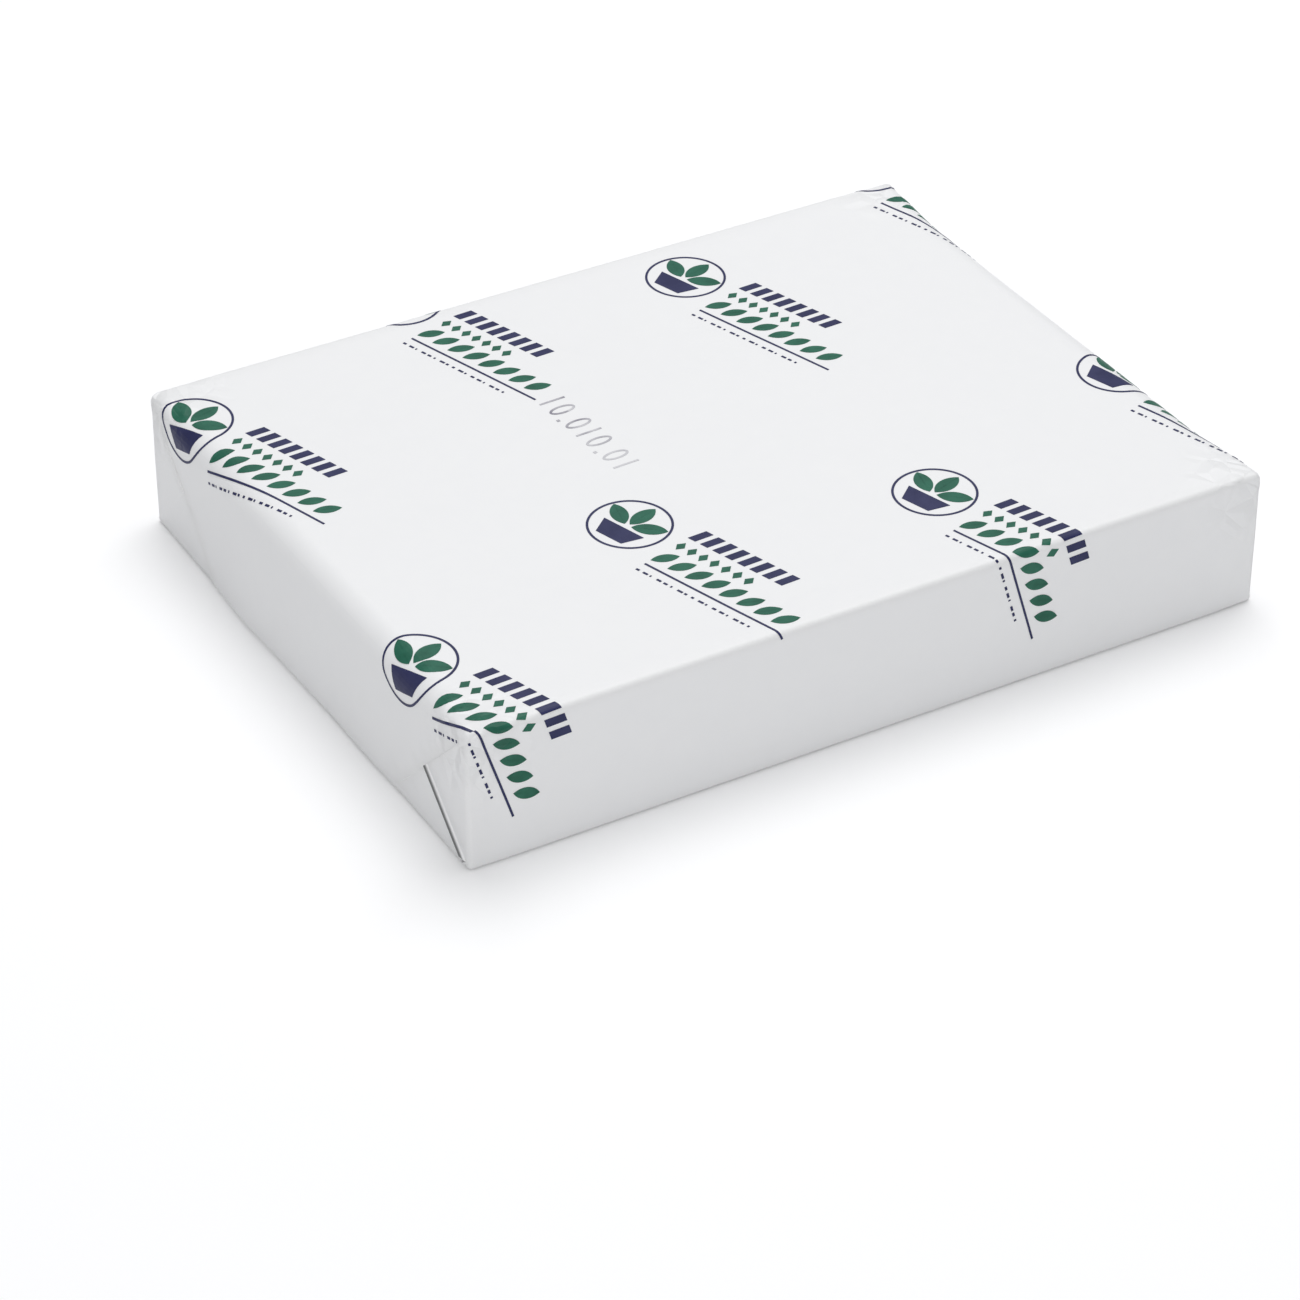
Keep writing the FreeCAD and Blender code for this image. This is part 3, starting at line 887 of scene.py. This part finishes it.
def lozenge():
    """One lozenge: a disc of four corners, drawn out along the row."""
    bpy.ops.object.select_all(action="DESELECT")
    bpy.ops.mesh.primitive_circle_add(vertices=4, radius=0.5, fill_type="NGON", location=(0, 0, 0))
    figure = bpy.context.object
    figure.scale = (LOZENGE_WIDTH, LOZENGE_HEIGHT, 1)
    figure.location = (ROW_START + LOZENGE_WIDTH / 2, LOZENGE_LEVEL + LOZENGE_HEIGHT / 2, 0)
    bpy.ops.object.transform_apply(location=True, rotation=True, scale=True)
    return figure


sprig_leaf = pointed_leaf(SPRIG_LEAF_LENGTH, SPRIG_LEAF_WIDTH)
row_leaf = pointed_leaf(LEAF_LENGTH, LEAF_WIDTH)
row_lozenge = lozenge()
green_forms = []
for degrees in SPRIG_TURNS:
    turn = math.radians(degrees)
    foot = (RING_ALONG + SPRIG_GAP * math.cos(turn), RING_UP + SPRIG_LEVEL + SPRIG_GAP * math.sin(turn))
    green_forms.append(copied(sprig_leaf, foot, turn))
for k in range(LEAF_COUNT):
    green_forms.append(copied(row_leaf, (ROW_START + k * LEAF_PITCH, LEAF_LEVEL), math.radians(LEAF_TURN)))
green_forms += [copied(row_lozenge, (k * LOZENGE_PITCH, 0)) for k in range(LOZENGE_COUNT)]
for form in (sprig_leaf, row_leaf, row_lozenge):
    bpy.data.objects.remove(form)
green_sheet = printed_sheet(green_forms, "green_mark")
green_print = joined(all_panels(green_sheet), "green_marks")
film_on_paper(green_print, printing_ink("green_ink", GREEN_INK, GREEN_THIN))
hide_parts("green_print")

# The lot stamp: a row of plain figures in thin grey ink, stamped once on the sealed pack's top by
# a worn rubber stamp, so that it fades towards its end. It is printed over nothing else.
STAMP_START = (-0.031, 0.0415)
STAMP_TURN = math.radians(-87.6)
STAMP_FIGURES = "10.010.01"
STAMP_PITCH = 0.0062
STAMP_DOT_PITCH = 0.0036
FIGURE_HEIGHT = 0.0092
FIGURE_WIDTH = 0.0044
FIGURE_STROKE = 0.0008
STAMP_GREY = (0.25, 0.24, 0.29, 1.0)
STAMP_FAINT = (0.66, 0.66, 0.68, 1.0)


def stamped_round(start):
    """A nought: an upright oval outline."""
    bpy.ops.object.select_all(action="DESELECT")
    bpy.ops.mesh.primitive_circle_add(vertices=32, radius=0.5, fill_type="NGON", location=(0, 0, 0))
    figure = bpy.context.object
    figure.scale = (FIGURE_WIDTH, FIGURE_HEIGHT, 1)
    figure.location = (start + FIGURE_WIDTH / 2, 0, 0)
    bpy.ops.object.transform_apply(location=True, rotation=True, scale=True)
    bpy.ops.object.mode_set(mode="EDIT")
    bpy.ops.mesh.select_mode(type="FACE")
    bpy.ops.mesh.select_all(action="SELECT")
    bpy.ops.mesh.inset(thickness=FIGURE_STROKE)
    bpy.ops.mesh.delete(type="FACE")
    bpy.ops.object.mode_set(mode="OBJECT")
    return figure


def stamped_bar(start):
    """A one: an upright stroke."""
    bar = flat_quad(FIGURE_STROKE, FIGURE_HEIGHT, (start + FIGURE_WIDTH / 2, 0))
    bpy.ops.object.mode_set(mode="OBJECT")
    return bar


def stamped_dot(start):
    """A full point at the foot of the row."""
    dot = flat_quad(FIGURE_STROKE * 1.4, FIGURE_STROKE * 1.4, (start + FIGURE_WIDTH / 4, -FIGURE_HEIGHT / 2))
    bpy.ops.object.mode_set(mode="OBJECT")
    return dot


def stamp_row():
    """The row of figures, laid on the top."""
    makers = {"0": stamped_round, "1": stamped_bar, ".": stamped_dot}
    figures = []
    start = 0.0
    for sign in STAMP_FIGURES:
        figures.append(makers[sign](start))
        start += STAMP_DOT_PITCH if sign == "." else STAMP_PITCH
    row = joined(figures, "lot_stamp")
    row.rotation_euler = (0, 0, STAMP_TURN)
    row.location = (*STAMP_START, HEIGHT)
    bpy.ops.object.transform_apply(location=True, rotation=True, scale=True)
    return row


def stamp_ink():
    """Thin grey stamping ink that fades along the row and breaks up over the fibres."""
    material = printing_ink("stamp_ink", STAMP_GREY, STAMP_FAINT)
    tree = material.node_tree
    place = node(tree, "ShaderNodeTexCoord", (-1200, 600))
    split = node(tree, "ShaderNodeSeparateXYZ", (-900, 600))
    fade = node(tree, "ShaderNodeMapRange", (-600, 600))
    fade.inputs["From Min"].default_value = 0.03
    fade.inputs["From Max"].default_value = -0.012
    tree.links.new(place.outputs["Object"], split.inputs[0])
    tree.links.new(split.outputs["Y"], fade.inputs["Value"])
    shader = tree.nodes["Principled BSDF"]
    inked = shader.inputs["Base Color"].links[0].from_socket
    faded = mix_colour(tree, (-100, 400), fade.outputs["Result"], inked, STAMP_FAINT)
    tree.links.new(faded, shader.inputs["Base Color"])
    return material


lot_stamp = stamp_row()
film_on_paper(lot_stamp, stamp_ink())

# The studio: a white table, one wide soft lamp above and behind on the right, weak fill from the
# left in front, and the camera of the photograph's view.
CAMERA_DISTANCE = 1.39955
CAMERA_TURN = math.radians(-29.953)
CAMERA_RISE = math.radians(34.911)
CAMERA_ASIDE = -0.01521
CAMERA_UP = -0.02898
CAMERA_LENS = 120.5
FLOOR_HALF = 4.0


def photo_camera():
    """The camera, aimed by its turn and rise and moved aside in its own picture plane."""
    back = Vector((
        math.sin(CAMERA_TURN) * math.cos(CAMERA_RISE),
        -math.cos(CAMERA_TURN) * math.cos(CAMERA_RISE),
        math.sin(CAMERA_RISE),
    ))
    right = (-back).cross(Vector((0, 0, 1))).normalized()
    up = right.cross(-back)
    bpy.ops.object.camera_add(location=back * CAMERA_DISTANCE + right * CAMERA_ASIDE + up * CAMERA_UP)
    camera = bpy.context.object
    camera.rotation_euler = (-back).to_track_quat("-Z", "Y").to_euler()
    camera.data.lens = CAMERA_LENS
    camera.data.sensor_width = 36
    camera.data.clip_end = 50
    bpy.context.scene.camera = camera


def soft_lamp(name, place, size, power, colour=(1, 1, 1)):
    """A square soft lamp that looks at the ream."""
    bpy.ops.object.light_add(type="AREA", location=place)
    lamp = bpy.context.object
    lamp.name = name
    lamp.rotation_euler = (-Vector(place)).to_track_quat("-Z", "Y").to_euler()
    lamp.data.shape = "SQUARE"
    lamp.data.size = size
    lamp.data.energy = power
    lamp.data.color = colour


def white_table():
    """The floor: plain white, with the ream's shadow, and clean white far away."""
    bpy.ops.mesh.primitive_grid_add(
        x_subdivisions=8, y_subdivisions=8, size=2 * FLOOR_HALF, location=(0, 0, 0),
    )
    table = bpy.context.object
    table.name = "table"
    material = bpy.data.materials.new("table_white")
    material.use_nodes = True
    tree = material.node_tree
    shader = tree.nodes["Principled BSDF"]
    shader.inputs["Base Color"].default_value = (0.86, 0.86, 0.865, 1)
    shader.inputs["Roughness"].default_value = 0.8
    shader.inputs["Specular IOR Level"].default_value = 0.1
    path = node(tree, "ShaderNodeLightPath", (-600, 400))
    shine = node(tree, "ShaderNodeEmission", (-300, -300), Strength=0.15)
    seen = node(tree, "ShaderNodeMixShader", (0, -300))
    nothing = node(tree, "ShaderNodeEmission", (-300, -500), Strength=0.0)
    total = node(tree, "ShaderNodeAddShader", (300, 0))
    place = node(tree, "ShaderNodeTexCoord", (-1200, -300))
    away = node(tree, "ShaderNodeVectorMath", (-1000, -300), operation="LENGTH")
    brighter = node(tree, "ShaderNodeMapRange", (-700, -300))
    brighter.inputs["From Min"].default_value = 0.6
    brighter.inputs["From Max"].default_value = 2.5
    brighter.inputs["To Min"].default_value = 0.15
    brighter.inputs["To Max"].default_value = 0.8
    tree.links.new(place.outputs["Object"], away.inputs[0])
    tree.links.new(away.outputs["Value"], brighter.inputs["Value"])
    tree.links.new(brighter.outputs["Result"], shine.inputs["Strength"])
    tree.links.new(path.outputs["Is Camera Ray"], seen.inputs[0])
    tree.links.new(nothing.outputs[0], seen.inputs[1])
    tree.links.new(shine.outputs[0], seen.inputs[2])
    tree.links.new(shader.outputs[0], total.inputs[0])
    tree.links.new(seen.outputs[0], total.inputs[1])
    tree.links.new(total.outputs[0], tree.nodes["Material Output"].inputs["Surface"])
    table.data.materials.append(material)


def pale_room():
    """The world: weak even light from all round, and white where the camera looks past the table."""
    world = bpy.data.worlds.new("pale_room")
    bpy.context.scene.world = world
    world.use_nodes = True
    tree = world.node_tree
    glow = tree.nodes["Background"]
    glow.inputs["Color"].default_value = (0.97, 0.98, 1.0, 1)
    glow.inputs["Strength"].default_value = 0.42
    white = node(tree, "ShaderNodeBackground", (0, -200), Strength=1.0)
    white.inputs["Color"].default_value = (1, 1, 1, 1)
    path = node(tree, "ShaderNodeLightPath", (-300, 300))
    mix = node(tree, "ShaderNodeMixShader", (300, 0))
    tree.links.new(path.outputs["Is Camera Ray"], mix.inputs[0])
    tree.links.new(glow.outputs[0], mix.inputs[1])
    tree.links.new(white.outputs[0], mix.inputs[2])
    tree.links.new(mix.outputs[0], tree.nodes["World Output"].inputs["Surface"])


photo_camera()
soft_lamp("key_lamp", (0.43, 0.5, 1.87), 1.6, 26.2)
soft_lamp("fill_lamp", (-1.05, -1.55, 0.85), 1.4, 10)
white_table()
pale_room()
bpy.context.scene.view_settings.view_transform = "Standard"
